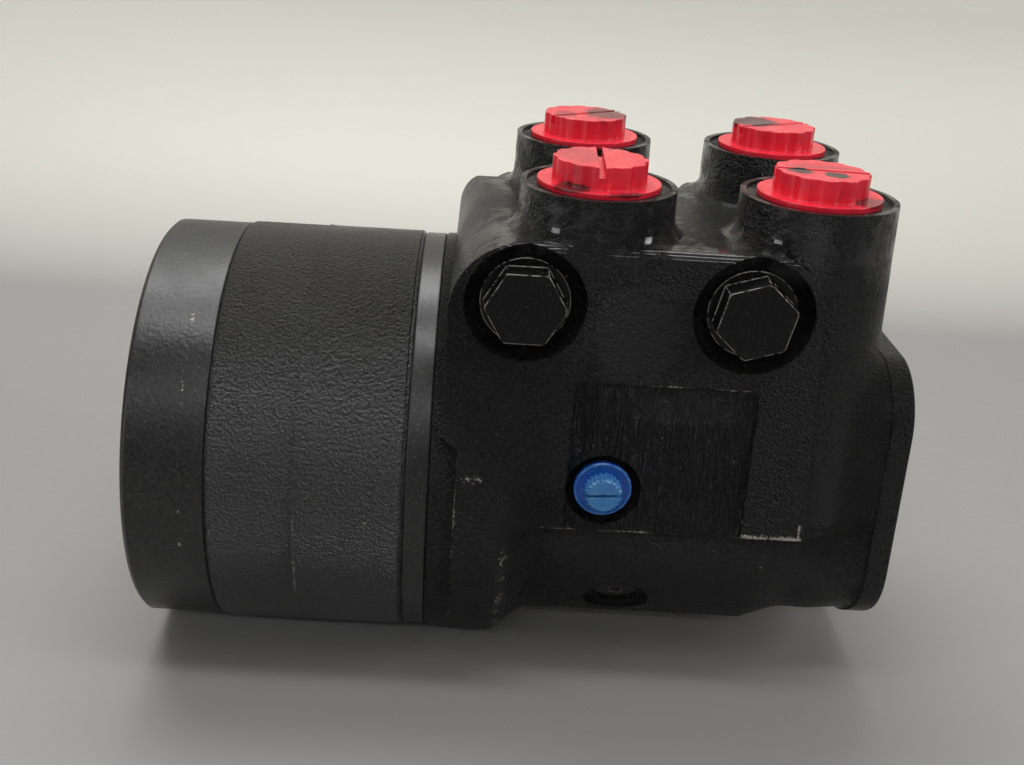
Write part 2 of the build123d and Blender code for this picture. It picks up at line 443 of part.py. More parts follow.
seat_z = PORT_Z - PORT_SEAT_DEPTH
CAP_TURN = {"port_cap_a": 88.0, "port_cap_b": 35.0, "port_cap_c": -4.0, "port_cap_d": 28.0}
cap_spots = {"port_cap_a": (PORT_X[0], -PORT_Y), "port_cap_b": (PORT_X[0], PORT_Y),
             "port_cap_c": (PORT_X[1], -PORT_Y), "port_cap_d": (PORT_X[1], PORT_Y)}
for name, (px, py) in cap_spots.items():
    cap = zcyl(17.4, 0, 1.5) + zcyl(13.3, 1.5, 7.8)
    for t in around(12, 15):
        cap -= zcyl(3.4, 1.5, 9, 15.9 * math.cos(t), 15.9 * math.sin(t))
    cap -= slab(-15, 15, -0.9, 0.9, 5.0, 9)
    cap += zcyl(PORT_THREAD_R - 0.03, -11.0, 0.1)
    cap -= zcyl(PORT_THREAD_R - 2.3, -12.0, -0.2)
    parts[name] = Pos(px, py, seat_z) * Rot(0, 0, CAP_TURN[name]) * cap

ls_y = Y_FRONT + LS_BORE_DEPTH
cap = ycyl(8.3, -1.2, 0) + ycyl(5.25, -4.6, -1.0) + ycyl(LS_THREAD_R, -0.1, 9.0)
for t in around(20, 0):
    cap -= ycyl(0.55, -6, -1.2, 5.45 * math.cos(t), 5.45 * math.sin(t))
cap -= slab(-6, 6, -6, -3.0, -0.5, 0.5)
cap -= ycyl(3.6, 0.5, 10.0)
parts["sensing_cap"] = Pos(LS_X, ls_y, LS_Z) * Rot(0, -3, 0) * cap

plug = zcyl(SIDE_PLUG_R, 46.2, 53.4) - Pos(0, 0, 52.9) * Cone(0.4, 2.2, 1.2)
parts["side_plug"] = Pos(SIDE_PLUG_X, 0, 0) * side_frame * plug

for name, shape in parts.items():
    export_step(shape, f"parts/{name}.step")
    print(name, round(shape.volume), len(shape.solids()))
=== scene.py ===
"""Orbital steering unit: finishes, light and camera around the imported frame. Metres."""
import math

import bmesh
import bpy
from mathutils import Matrix, Vector


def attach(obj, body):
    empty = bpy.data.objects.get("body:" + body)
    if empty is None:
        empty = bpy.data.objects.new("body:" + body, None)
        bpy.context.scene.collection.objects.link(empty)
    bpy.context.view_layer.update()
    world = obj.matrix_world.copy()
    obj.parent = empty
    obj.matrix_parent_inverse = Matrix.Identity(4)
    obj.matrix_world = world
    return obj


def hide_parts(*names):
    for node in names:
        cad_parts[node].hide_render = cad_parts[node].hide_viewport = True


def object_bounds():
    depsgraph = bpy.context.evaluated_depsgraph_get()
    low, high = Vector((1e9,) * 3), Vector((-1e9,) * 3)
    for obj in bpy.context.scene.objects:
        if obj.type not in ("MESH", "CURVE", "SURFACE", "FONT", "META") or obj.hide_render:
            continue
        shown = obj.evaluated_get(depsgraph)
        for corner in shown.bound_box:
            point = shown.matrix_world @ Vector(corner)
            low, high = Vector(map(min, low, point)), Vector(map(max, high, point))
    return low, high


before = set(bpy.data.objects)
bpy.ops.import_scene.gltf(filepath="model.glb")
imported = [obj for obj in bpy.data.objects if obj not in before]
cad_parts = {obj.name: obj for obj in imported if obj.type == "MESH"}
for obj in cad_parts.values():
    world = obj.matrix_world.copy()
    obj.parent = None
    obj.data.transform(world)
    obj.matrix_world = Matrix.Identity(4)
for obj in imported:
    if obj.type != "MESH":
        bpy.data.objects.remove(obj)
cad_box = [list(map(float, corner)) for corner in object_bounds()]

# ---- Black paint over iron ----------------------------------------------------------------------
# The whole case is sprayed satin black after assembly, over a cast or a turned surface. The paint
# follows the sand-cast grain, is thin on the edges, and holds dust, oil film and small scratches.


class Nodes:
    """Adds nodes to one tree and links them by name."""

    def __init__(self, tree):
        self.tree = tree

    def add(self, kind, inputs=None, **settings):
        node = self.tree.nodes.new(kind)
        for key, value in settings.items():
            setattr(node, key, value)
        for key, value in (inputs or {}).items():
            self.put(node.inputs[key], value)
        return node

    def put(self, socket, value):
        if isinstance(value, bpy.types.NodeSocket):
            self.tree.links.new(value, socket)
        else:
            socket.default_value = value

    def noise(self, place, scale, detail=3.0, rough=0.5, distort=0.0):
        return self.add("ShaderNodeTexNoise", {"Vector": place, "Scale": scale, "Detail": detail,
                                               "Roughness": rough, "Distortion": distort}).outputs["Fac"]

    def math(self, operation, a, b=0.0, clamp=False):
        node = self.add("ShaderNodeMath", {0: a, 1: b}, operation=operation, use_clamp=clamp)
        return node.outputs[0]

    def span(self, value, low, high, to_low=0.0, to_high=1.0):
        return self.add("ShaderNodeMapRange", {"Value": value, "From Min": low, "From Max": high,
                                               "To Min": to_low, "To Max": to_high}).outputs[0]

    def mix(self, factor, a, b):
        node = self.add("ShaderNodeMix", data_type="RGBA")
        self.put(node.inputs[0], factor)
        self.put(node.inputs[6], a)
        self.put(node.inputs[7], b)
        return node.outputs[2]

    def stretched(self, place, scale):
        return self.add("ShaderNodeMapping", {"Vector": place, "Scale": scale}).outputs[0]


def new_group(name, inputs, outputs):
    group = bpy.data.node_groups.new(name, "ShaderNodeTree")
    for label, kind, value in inputs:
        socket = group.interface.new_socket(label, in_out="INPUT", socket_type=kind)
        if value is not None:
            socket.default_value = value
    for label, kind in outputs:
        group.interface.new_socket(label, in_out="OUTPUT", socket_type=kind)
    n = Nodes(group)
    return group, n, n.add("NodeGroupInput").outputs, n.add("NodeGroupOutput").inputs


FLOAT, VECTOR = "NodeSocketFloat", "NodeSocketVector"

cast_grain, n, given, out = new_group(
    "cast grain", [("Place", VECTOR, None), ("Size", FLOAT, 1.0), ("Depth", FLOAT, 1.0)],
    [("Height", FLOAT), ("Pits", FLOAT)])
fine = n.noise(given["Place"], n.math("DIVIDE", 4200.0, given["Size"]), 2.0, 0.6)
coarse = n.noise(given["Place"], n.math("DIVIDE", 1500.0, given["Size"]), 3.0, 0.62)
bumps = n.add("ShaderNodeTexVoronoi", {"Vector": given["Place"],
                                       "Scale": n.math("DIVIDE", 1250.0, given["Size"])}).outputs["Distance"]
height = n.math("ADD", n.math("MULTIPLY", fine, 0.3), n.math("MULTIPLY", coarse, 1.1))
height = n.math("SUBTRACT", height, n.math("MULTIPLY", bumps, 0.45))
n.put(out["Height"], n.math("MULTIPLY", height, given["Depth"]))
n.put(out["Pits"], n.span(coarse, 0.38, 0.62))

# Edge mask from the bevel: worn paint on the painted parts, and painted highlights on the edges of the blue cap.
edge_wear_and_highlight, n, given, out = new_group(
    "edge wear and highlight", [("Place", VECTOR, None), ("Radius", FLOAT, 0.0006), ("Amount", FLOAT, 0.5)], [("Mask", FLOAT)])
rounded = n.add("ShaderNodeBevel", {"Radius": given["Radius"]}, samples=6)
true_normal = n.add("ShaderNodeNewGeometry").outputs["Normal"]
likeness = n.add("ShaderNodeVectorMath", {0: rounded.outputs[0], 1: true_normal}, operation="DOT_PRODUCT")
edge = n.span(likeness.outputs["Value"], 0.985, 0.90)
patchy = n.span(n.noise(given["Place"], 420.0, 3.0, 0.6), 0.42, 0.60)
n.put(out["Mask"], n.math("MULTIPLY", n.math("MULTIPLY", edge, patchy), given["Amount"], clamp=True))

dust, n, given, out = new_group(
    "dust and scratches", [("Place", VECTOR, None), ("Amount", FLOAT, 1.0)], [("Mask", FLOAT)])
specks = n.add("ShaderNodeTexVoronoi", {"Vector": given["Place"], "Scale": 300.0}, feature="F1").outputs["Distance"]
rare = n.span(n.noise(given["Place"], 60.0, 2.0), 0.50, 0.66)
speck = n.math("MULTIPLY", n.span(specks, 0.13, 0.06), rare)
grit = n.span(n.noise(given["Place"], 1900.0, 1.0, 0.3), 0.66, 0.73)
lint = n.span(n.noise(n.stretched(given["Place"], (1500.0, 1500.0, 230.0)), 1.0, 1.0), 0.74, 0.79)
speck = n.math("MAXIMUM", speck, n.math("MAXIMUM", n.math("MULTIPLY", grit, 0.7), n.math("MULTIPLY", lint, 0.5)))
n.put(out["Mask"], n.math("MULTIPLY", speck, given["Amount"], clamp=True))


def group_node(n, group, values):
    node = n.add("ShaderNodeGroup", node_tree=group)
    for key, value in values.items():
        n.put(node.inputs[key], value)
    return node.outputs


def new_material(name):
    material = bpy.data.materials.new(name)
    material.use_nodes = True
    tree = material.node_tree
    shader = tree.nodes["Principled BSDF"]
    n = Nodes(tree)
    place = n.add("ShaderNodeTexCoord").outputs["Object"]
    return material, n, shader.inputs, place


def chips(n, place, lines):
    """Mask of chipped and rubbed edges: flakes crowd round each line (axis, position, reach, limits,
    amount) in metres, and limits is a list of (axis, low, high)."""
    axes = n.add("ShaderNodeSeparateXYZ", {0: place}).outputs
    flake = n.math("ADD", n.math("MULTIPLY", n.noise(place, 1100.0, 4.0, 0.75), 0.75),
                   n.math("MULTIPLY", n.noise(place, 150.0, 2.0), 0.45))
    total = None
    for axis, position, reach, limits, amount in lines:
        away = n.math("ABSOLUTE", n.math("SUBTRACT", axes[axis], position))
        near = n.span(away, reach, 0.0, 0.0, amount)
        for limit_axis, low, high in limits:
            near = n.math("MULTIPLY", near, n.math("GREATER_THAN", axes[limit_axis], low))
            near = n.math("MULTIPLY", near, n.math("LESS_THAN", axes[limit_axis], high))
        total = near if total is None else n.math("MAXIMUM", total, near)
    return n.span(n.math("ADD", flake, n.math("MULTIPLY", total, 0.30)), 0.80, 0.90)


def patches(n, place, spots, fray=0.35):
    """Mask of irregular patches; each spot is (centre, half sizes, amount) in metres."""
    ragged = n.math("MULTIPLY", n.math("SUBTRACT", n.noise(place, 230.0, 5.0, 0.7), 0.5), fray * 6.0)
    total = None
    for centre, half, amount in spots:
        offset = n.add("ShaderNodeVectorMath", {0: place, 1: centre}, operation="SUBTRACT").outputs[0]
        offset = n.add("ShaderNodeVectorMath", {0: offset, 1: half}, operation="DIVIDE").outputs[0]
        far = n.add("ShaderNodeVectorMath", {0: offset}, operation="LENGTH").outputs["Value"]
        mask = n.math("MULTIPLY", n.span(n.math("ADD", far, ragged), 1.15, 0.80), amount)
        total = mask if total is None else n.math("MAXIMUM", total, mask)
    return total


def black_paint(name, grain=1.0, depth=1.0, strength=0.5, bump_size=0.0004, gloss=0.42, shine=0.40, tone=0.005,
                worn=0.3, worn_tone=0.10, dusty=0.6, streak=None, lines=(), panel=None, wet=(), dull=(), oily=(),
                seam=None):
    """Satin black paint. grain and depth set the cast texture, streak the direction of turning marks,
    lines the chipped edges, panel a milled area, wet the oily rings round the port bosses, dull and
    oily the matt and the dark glossy patches (oil, and painted shade in recesses), seam a parting line across the X
    axis."""
    material, n, shader, place = new_material(name)
    grain_out = group_node(n, cast_grain, {"Place": place, "Size": grain, "Depth": depth})
    wear = group_node(n, edge_wear_and_highlight, {"Place": place, "Radius": 0.0005, "Amount": worn})["Mask"]
    dirt = group_node(n, dust, {"Place": place, "Amount": dusty})["Mask"]
    cloud = n.span(n.noise(place, 26.0, 4.0, 0.6), 0.35, 0.70)
    base = n.mix(cloud, (tone * 0.7, tone * 0.72, tone * 0.75, 1), (tone * 1.6, tone * 1.62, tone * 1.66, 1))
    base = n.mix(n.math("MULTIPLY", grain_out["Pits"], 0.7), base, (tone * 4.2, tone * 4.1, tone * 4.0, 1))
    base = n.mix(n.math("MULTIPLY", wear, 0.85), base, (worn_tone, worn_tone * 0.96, worn_tone * 0.88, 1))
    base = n.mix(n.math("MULTIPLY", dirt, 0.5), base, (0.24, 0.23, 0.22, 1))
    rough = n.span(cloud, 0.0, 1.0, gloss - 0.08, gloss + 0.12)
    height = grain_out["Height"]
    if streak:
        height = n.math("ADD", height, n.math("MULTIPLY", n.noise(n.stretched(place, streak), 1.0, 2.0), 0.5))
    axes = n.add("ShaderNodeSeparateXYZ", {0: place}).outputs
    if panel:
        inside = 1.0
        for axis, low, high in panel:
            inside = n.math("MULTIPLY", inside, n.math("GREATER_THAN", axes[axis], low))
            inside = n.math("MULTIPLY", inside, n.math("LESS_THAN", axes[axis], high))
        cuts = n.noise(n.stretched(place, (800.0, 60.0, 90.0)), 1.0, 2.0, 0.5, 1.6)
        milled = n.math("ADD", n.math("MULTIPLY", cuts, 3.6), n.math("MULTIPLY", height, 0.4))
        height = n.add("ShaderNodeMix", {0: inside, 2: height, 3: milled}, data_type="FLOAT").outputs[0]
        base = n.mix(n.math("MULTIPLY", inside, n.span(cuts, 0.42, 0.62, 0.0, 0.6)), base,
                     (tone * 4.5, tone * 4.4, tone * 4.3, 1))
    if seam:
        split = n.span(n.math("ABSOLUTE", n.math("SUBTRACT", axes[0], seam)), 0.0004, 0.0001)
        height = n.math("SUBTRACT", height, n.math("MULTIPLY", split, 0.5))
        base = n.mix(n.math("MULTIPLY", split, 0.7), base, (0.001, 0.001, 0.001, 1))
    if dull:
        matt = patches(n, place, dull)
        base = n.mix(n.math("MULTIPLY", matt, 0.55), base, (0.022, 0.021, 0.021, 1))
        rough = n.math("ADD", rough, n.math("MULTIPLY", matt, 0.18))
        height = n.math("MULTIPLY", height, n.span(matt, 0.0, 1.0, 1.0, 0.45))
    # Darkened glossy patches: on the housing these are painted shade in the deep plug seats, with oil, and an oil
    # run.
    if oily:
        dark = patches(n, place, oily)
        base = n.mix(dark, base, (0.0012, 0.0012, 0.0013, 1))
        rough = n.math("ADD", rough, n.math("MULTIPLY", dark, 0.05))
    if lines:
        scratch = chips(n, place, lines)
        base = n.mix(scratch, base, (0.42, 0.40, 0.36, 1))
    if wet:
        film = 0.0
        for x, y, radius in wet:
            dx = n.math("SUBTRACT", axes[0], x)
            dy = n.math("SUBTRACT", axes[1], y)
            far = n.math("SQRT", n.math("ADD", n.math("MULTIPLY", dx, dx), n.math("MULTIPLY", dy, dy)))
            film = n.math("MAXIMUM", film, n.span(n.math("ABSOLUTE", n.math("SUBTRACT", far, radius)), 0.011, 0.003))
        film = n.math("MULTIPLY", film, n.span(axes[2], 0.070, 0.080))
        rim = n.math("MULTIPLY", n.span(n.math("ABSOLUTE", n.math("SUBTRACT", axes[2], 0.0795)), 0.004, 0.001),
                     n.math("LESS_THAN", axes[1], -0.048))
        film = n.math("MAXIMUM", film, rim)
        film = n.math("MULTIPLY", film, n.span(n.noise(place, 120.0, 4.0, 0.65), 0.42, 0.56), clamp=True)
        n.put(shader["Coat Weight"], n.math("MULTIPLY", film, 0.65))
        shader["Coat Roughness"].default_value = 0.07
        rough = n.math("SUBTRACT", rough, n.math("MULTIPLY", film, 0.14))
        height = n.math("ADD", height, n.math("MULTIPLY", n.math("MULTIPLY", film, 0.8),
                                              n.noise(place, 620.0, 2.0, 0.5)))
    n.put(shader["Base Color"], base)
    n.put(shader["Roughness"], n.math("ADD", rough, n.math("MULTIPLY", dirt, 0.25), clamp=True))
    shader["Specular IOR Level"].default_value = shine
    soft = n.add("ShaderNodeBevel", {"Radius": 0.0007}, samples=6).outputs[0]
    bump = n.add("ShaderNodeBump", {"Height": height, "Strength": strength, "Distance": bump_size, "Normal": soft})
    n.put(shader["Normal"], bump.outputs[0])
    return material


def finish_nodes(material, *names):
    """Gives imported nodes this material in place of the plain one."""
    for name in names:
        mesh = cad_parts[name].data
        mesh.materials.clear()
        mesh.materials.append(material)


# ---- Valve housing --------------------------------------------------------------------------------
# Grey iron cast in sand and painted. Its front face, port seats and deep plug seats are machined
# before painting, and its corners are chipped where it has been handled.
X, Y, Z = 0, 1, 2
front = (Y, -0.075, -0.050)
housing_chips = [(Z, -0.0040, 0.0008, [front, (X, -0.108, -0.050)], 0.70),
                 (Z, -0.0036, 0.0018, [front, (X, -0.050, -0.0325)], 1.15),
                 (X, -0.0335, 0.0010, [front, (Z, -0.0045, 0.001)], 1.0),
                 (X, -0.1328, 0.0007, [(Z, -0.06, 0.012), (Y, -0.07, 0.0)], 0.62),
                 (X, -0.1185, 0.0034, [(Z, -0.052, -0.006), (Y, -0.07, 0.0)], 0.60),
                 (Z, 0.0135, 0.0026, [front, (X, -0.1315, -0.1255)], 0.85),
                 (Z, 0.0419, 0.0006, [front, (X, -0.098, -0.053)], 0.85),
                 (X, -0.0501, 0.0005, [front, (Z, 0.0, 0.040)], 0.40),
                 (X, -0.0420, 0.0016, [(Z, -0.05, -0.006), (Y, -0.07, 0.0)], 0.40)]
boss_rings = [(-0.0975, -0.0325, 0.0255), (-0.0354, -0.0325, 0.0255), (-0.0975, 0.0325, 0.0255),
              (-0.0354, 0.0325, 0.0255)]
matt_patches = [((-0.0860, -0.0565, 0.0570), (0.0130, 0.004, 0.0150), 1.0),
                ((-0.0700, -0.0565, 0.0360), (0.0150, 0.004, 0.0050), 0.7)]
# The first three patches darken the two hex plug seats and the sensing port seat: painted shade in these recesses,
# with oil in them. The last is an oil run below the front left port.
seat_oil_and_shade = [((-0.1166, -0.0540, 0.0635), (0.0168, 0.0024, 0.0168), 1.0),
            ((-0.0546, -0.0540, 0.0635), (0.0168, 0.0024, 0.0168), 1.0),
            ((-0.0909, -0.0545, 0.0090), (0.0108, 0.0018, 0.0108), 0.9),
            ((-0.0975, -0.0562, 0.0380), (0.0028, 0.003, 0.0150), 0.8)]
finish_nodes(black_paint("black paint on sand casting", grain=1.25, depth=1.0, strength=1.0, bump_size=0.0016,
                         gloss=0.27, shine=0.21, tone=0.0032, dusty=0.25, lines=housing_chips,
                         dull=matt_patches, oily=seat_oil_and_shade,
                         panel=[(X, -0.1015, -0.050), (Z, -0.0038, 0.042), (Y, -0.0567, -0.0550)],
                         wet=boss_rings), "housing")

# ---- Gear ring --------------------------------------------------------------------------------------
# A cast ring with a rough outside and a parting line round it, held between plate and
# cover by the seven screws. The paint is worn through along the parting line and one edge.
RING_SEAM_X = -0.1478
finish_nodes(black_paint("black paint on rough ring", grain=1.3, depth=1.3, strength=1.0, bump_size=0.0028,
                         gloss=0.36, shine=0.75, dusty=0.4, tone=0.010, seam=RING_SEAM_X,
                         lines=[(X, -0.1778, 0.0008, [(Z, -0.07, 0.012)], 0.7),
                                (X, RING_SEAM_X, 0.0005, [(Z, -0.07, 0.0)], 0.45),
                                (X, -0.1560, 0.0100, [(Z, -0.006, 0.004), (Y, -0.07, 0.0)], 0.35)]), "gear_ring")

# ---- Distributor plate ------------------------------------------------------------------------------
# A flat steel plate between housing and ring, turned on its rim, so the paint shows fine marks.
finish_nodes(black_paint("black paint on turned plate", grain=1.6, depth=0.2, strength=0.3, gloss=0.34, shine=0.5,
                         streak=(4000.0, 20.0, 20.0)), "distributor_plate")

# ---- End cover --------------------------------------------------------------------------------------
# A turned steel disc that closes the gear set. Its rim is smooth, with the paint rubbed in a band.
finish_nodes(black_paint("black paint on end cover", grain=1.7, depth=0.5, strength=0.4, gloss=0.36, shine=0.5,
                         dusty=0.4, lines=[(X, -0.2100, 0.0012, [(Z, -0.06, 0.05), (Y, -0.07, 0.0)], 0.4)]),
             "end_cover")

# ---- Plugs and screws -------------------------------------------------------------------------------
# Two hex plugs in deep seats, the round side plug and the cover screws: steel, sprayed with the
# case, and rubbed bright along their edges by the spanner.
finish_nodes(black_paint("black paint on fasteners", grain=1.2, depth=0.15, strength=0.2, gloss=0.24, shine=0.25,
                         worn=3.2, worn_tone=0.45, tone=0.0015, dusty=0.25),
             "front_plug_a", "front_plug_b", "cover_screws", "side_plug")

# ---- Steel inside ---------------------------------------------------------------------------------
# Rotor, shaft, sleeve, spool, pin, springs and bearing are hardened steel, ground and left bare in
# oil, with fine marks along the turning direction.


def bare_steel(name, tone, rough):
    material, n, shader, place = new_material(name)
    marks = n.noise(n.stretched(place, (2600.0, 60.0, 60.0)), 1.0, 3.0, 0.6)
    stain = n.span(n.noise(place, 70.0, 3.0), 0.4, 0.7)
    n.put(shader["Base Color"], n.mix(stain, (tone, tone, tone * 1.01, 1), (tone * 0.7, tone * 0.67, tone * 0.6, 1)))
    shader["Metallic"].default_value = 1.0
    n.put(shader["Roughness"], n.span(marks, 0.3, 0.7, rough - 0.08, rough + 0.1))
    soft = n.add("ShaderNodeBevel", {"Radius": 0.0003}, samples=4).outputs[0]
    bump = n.add("ShaderNodeBump", {"Height": marks, "Strength": 0.12, "Distance": 0.0002, "Normal": soft})
    n.put(shader["Normal"], bump.outputs[0])
    return material


finish_nodes(bare_steel("ground steel", 0.52, 0.28), "rotor", "shaft_stop", "sleeve", "spool")
finish_nodes(bare_steel("oiled dark steel", 0.38, 0.36), "drive_shaft", "centring_springs", "spring_ring",
             "bearing_cage")
finish_nodes(bare_steel("bright pin steel", 0.62, 0.2), "cross_pin", "bearing_needles", "bearing_race_inner",
             "bearing_race_outer")

# ---- Seals ------------------------------------------------------------------------------------------
# Black nitrile rubber: three round cords in face grooves, the shaft seal and the lipped dust seal.


def rubber(name):
    material, n, shader, place = new_material(name)
    bloom = n.span(n.noise(place, 160.0, 4.0, 0.6), 0.35, 0.75)
    n.put(shader["Base Color"], n.mix(bloom, (0.012, 0.012, 0.013, 1), (0.03, 0.03, 0.031, 1)))
    n.put(shader["Roughness"], n.span(bloom, 0.0, 1.0, 0.55, 0.75))
    bump = n.add("ShaderNodeBump", {"Height": bloom, "Strength": 0.1, "Distance": 0.0002})
    n.put(shader["Normal"], bump.outputs[0])
    return material


finish_nodes(rubber("black nitrile rubber"), "cord_housing", "cord_plate", "cord_cover", "shaft_seal", "dust_seal")

# ---- Transport caps -----------------------------------------------------------------------------------
# Moulded polyethylene screw caps, red, in the four hose ports. They are glossy, slightly
# translucent, and smeared with dark oil where they were handled.


def cap_plastic(name, bright, deep, oily, spots=(), rough=0.27):
    material, n, shader, place = new_material(name)
    tint = n.span(n.noise(place, 90.0, 3.0, 0.5), 0.35, 0.65)
    smear = n.math("MULTIPLY", n.span(n.noise(place, 260.0, 5.0, 0.7, 0.8), 0.56, 0.68),
                   n.span(n.noise(n.stretched(place, (60.0, 40.0, 60.0)), 1.0, 2.0), 0.45, 0.58))
    smear = n.math("MULTIPLY", smear, oily)
    if spots:
        smear = n.math("MAXIMUM", smear, patches(n, place, spots, 0.25))
    base = n.mix(tint, bright, deep)
    n.put(shader["Base Color"], n.mix(smear, base, (0.022, 0.006, 0.007, 1)))
    n.put(shader["Roughness"], n.span(tint, 0.0, 1.0, rough - 0.04, rough + 0.08))
    shader["Subsurface Weight"].default_value = 0.12
    shader["Subsurface Radius"].default_value = (0.002, 0.0006, 0.0006)
    shader["Subsurface Scale"].default_value = 1.0
    soft = n.add("ShaderNodeBevel", {"Radius": 0.0005}, samples=6).outputs[0]
    flow = n.math("ADD", n.noise(place, 130.0, 2.0), n.math("MULTIPLY", n.noise(place, 900.0, 2.0), 0.25))
    bump = n.add("ShaderNodeBump", {"Height": flow, "Strength": 0.22, "Distance": 0.0006, "Normal": soft})
    n.put(shader["Normal"], bump.outputs[0])
    return material


CAP_TOP, CAP_FOOT = 0.0997, 0.0934
cap_stains = [((-0.1035, -0.0310, CAP_TOP), (0.0068, 0.0085, 0.0025), 0.32),
              ((-0.1060, -0.0440, CAP_FOOT), (0.0050, 0.0060, 0.0012), 0.85),
              ((-0.0880, -0.0490, CAP_FOOT), (0.0080, 0.0035, 0.0012), 0.80),
              ((-0.0905, 0.0340, CAP_TOP), (0.0075, 0.0095, 0.0025), 0.80),
              ((-0.1040, 0.0290, CAP_TOP), (0.0040, 0.0060, 0.0025), 0.45),
              ((-0.0419, -0.0340, CAP_TOP), (0.0034, 0.0036, 0.0020), 1.0),
              ((-0.0328, -0.0375, CAP_TOP), (0.0034, 0.0034, 0.0020), 1.0),
              ((-0.0350, -0.0285, CAP_TOP), (0.0110, 0.0022, 0.0020), 0.35),
              ((-0.0420, 0.0365, CAP_TOP), (0.0085, 0.0085, 0.0025), 0.92),
              ((-0.0220, -0.0420, CAP_FOOT), (0.0080, 0.0060, 0.0012), 0.70)]
finish_nodes(cap_plastic("red cap plastic", (0.78, 0.022, 0.046, 1), (0.64, 0.013, 0.034, 1), 0.6, cap_stains),
             "port_cap_a", "port_cap_b", "port_cap_c", "port_cap_d")

# ---- Sensing port cap --------------------------------------------------------------------------------
# A small blue moulded plug: a dished flange with a raised rim, and a serrated head with a driver slot
# that stands out of it, a little translucent. Painted shade deepens the flange's blue; painted light brightens the
# head, with painted highlights on the edges.
CAP_X, CAP_SEAT_Y, CAP_Z = -0.0909, -0.0539, 0.0090
cap_mesh = bmesh.new()
profile = [(0.0, 0.0005), (0.0076, 0.0005), (0.0083, -0.0002), (0.0083, -0.0017), (0.0080, -0.0021),
           (0.0075, -0.0021), (0.0071, -0.0018), (0.0, -0.0018)]
points = [cap_mesh.verts.new((CAP_X + r, CAP_SEAT_Y + y, CAP_Z)) for r, y in profile]
edges = [cap_mesh.edges.new(pair) for pair in zip(points, points[1:])]
bmesh.ops.spin(cap_mesh, geom=points + edges, cent=(CAP_X, CAP_SEAT_Y, CAP_Z), axis=(0, 1, 0),
               angle=2 * math.pi, steps=64, use_merge=True)
head = bmesh.ops.create_circle(cap_mesh, cap_ends=True, segments=44, radius=0.0054)["verts"]
bmesh.ops.scale(cap_mesh, verts=head[::2], vec=(0.91, 0.91, 1.0))
bmesh.ops.rotate(cap_mesh, verts=head, cent=(0, 0, 0), matrix=Matrix.Rotation(math.radians(2.3), 3, "Z"))
bmesh.ops.rotate(cap_mesh, verts=head, cent=(0, 0, 0), matrix=Matrix.Rotation(math.radians(90), 3, "X"))
bmesh.ops.translate(cap_mesh, verts=head, vec=(CAP_X, CAP_SEAT_Y - 0.0010, CAP_Z))
for rise, narrow in ((0.0046, 0.99), (0.0006, 0.90)):
    face = [f for f in cap_mesh.faces if len(f.verts) == 44][-1]
    grown = bmesh.ops.extrude_face_region(cap_mesh, geom=[face])["geom"]
    tip = [v for v in grown if isinstance(v, bmesh.types.BMVert)]
    bmesh.ops.translate(cap_mesh, verts=tip, vec=(0, -rise, 0))
    bmesh.ops.scale(cap_mesh, verts=tip, vec=(narrow, 1.0, narrow), space=Matrix.Translation((-CAP_X, 0, -CAP_Z)))
    bmesh.ops.delete(cap_mesh, geom=[face], context="FACES_ONLY")
foot = [v for v in cap_mesh.verts if abs(v.co.y - (CAP_SEAT_Y - 0.0010)) < 1e-6]
bmesh.ops.contextual_create(cap_mesh, geom=foot)
bmesh.ops.remove_doubles(cap_mesh, verts=cap_mesh.verts, dist=1e-6)
bmesh.ops.recalc_face_normals(cap_mesh, faces=cap_mesh.faces)
mesh = bpy.data.meshes.new("sensing_plug")
cap_mesh.to_mesh(mesh)
cap_mesh.free()
sensing_plug = bpy.data.objects.new("sensing_plug", mesh)
bpy.context.collection.objects.link(sensing_plug)

slot_mesh = bmesh.new()
bmesh.ops.create_cube(slot_mesh, size=1.0)
bmesh.ops.scale(slot_mesh, verts=slot_mesh.verts, vec=(0.014, 0.0030, 0.0009))
bmesh.ops.rotate(slot_mesh, verts=slot_mesh.verts, cent=(0, 0, 0), matrix=Matrix.Rotation(math.radians(-3), 3, "Y"))
bmesh.ops.translate(slot_mesh, verts=slot_mesh.verts, vec=(CAP_X, CAP_SEAT_Y - 0.0055, CAP_Z))
mesh = bpy.data.meshes.new("slot_cutter")
slot_mesh.to_mesh(mesh)
slot_mesh.free()
slot_cutter = bpy.data.objects.new("slot_cutter", mesh)
bpy.context.collection.objects.link(slot_cutter)
cut = sensing_plug.modifiers.new("slot", "BOOLEAN")
cut.object, cut.operation, cut.solver, cut.use_self = slot_cutter, "DIFFERENCE", "EXACT", True
bpy.context.view_layer.update()
cut_mesh = bpy.data.meshes.new_from_object(sensing_plug.evaluated_get(bpy.context.evaluated_depsgraph_get()))
sensing_plug.modifiers.clear()
sensing_plug.data = cut_mesh
bpy.data.objects.remove(slot_cutter)
for face in sensing_plug.data.polygons:
    face.use_smooth = False
material, n, shader, place = new_material("blue cap plastic")
depth_in = n.add("ShaderNodeSeparateXYZ", {0: place}).outputs["Y"]
# Painted light: the dished flange is coloured a deeper blue as painted shade, and the head a lighter blue as painted
# light.
head = n.span(depth_in, CAP_SEAT_Y - 0.0018, CAP_SEAT_Y - 0.0026)
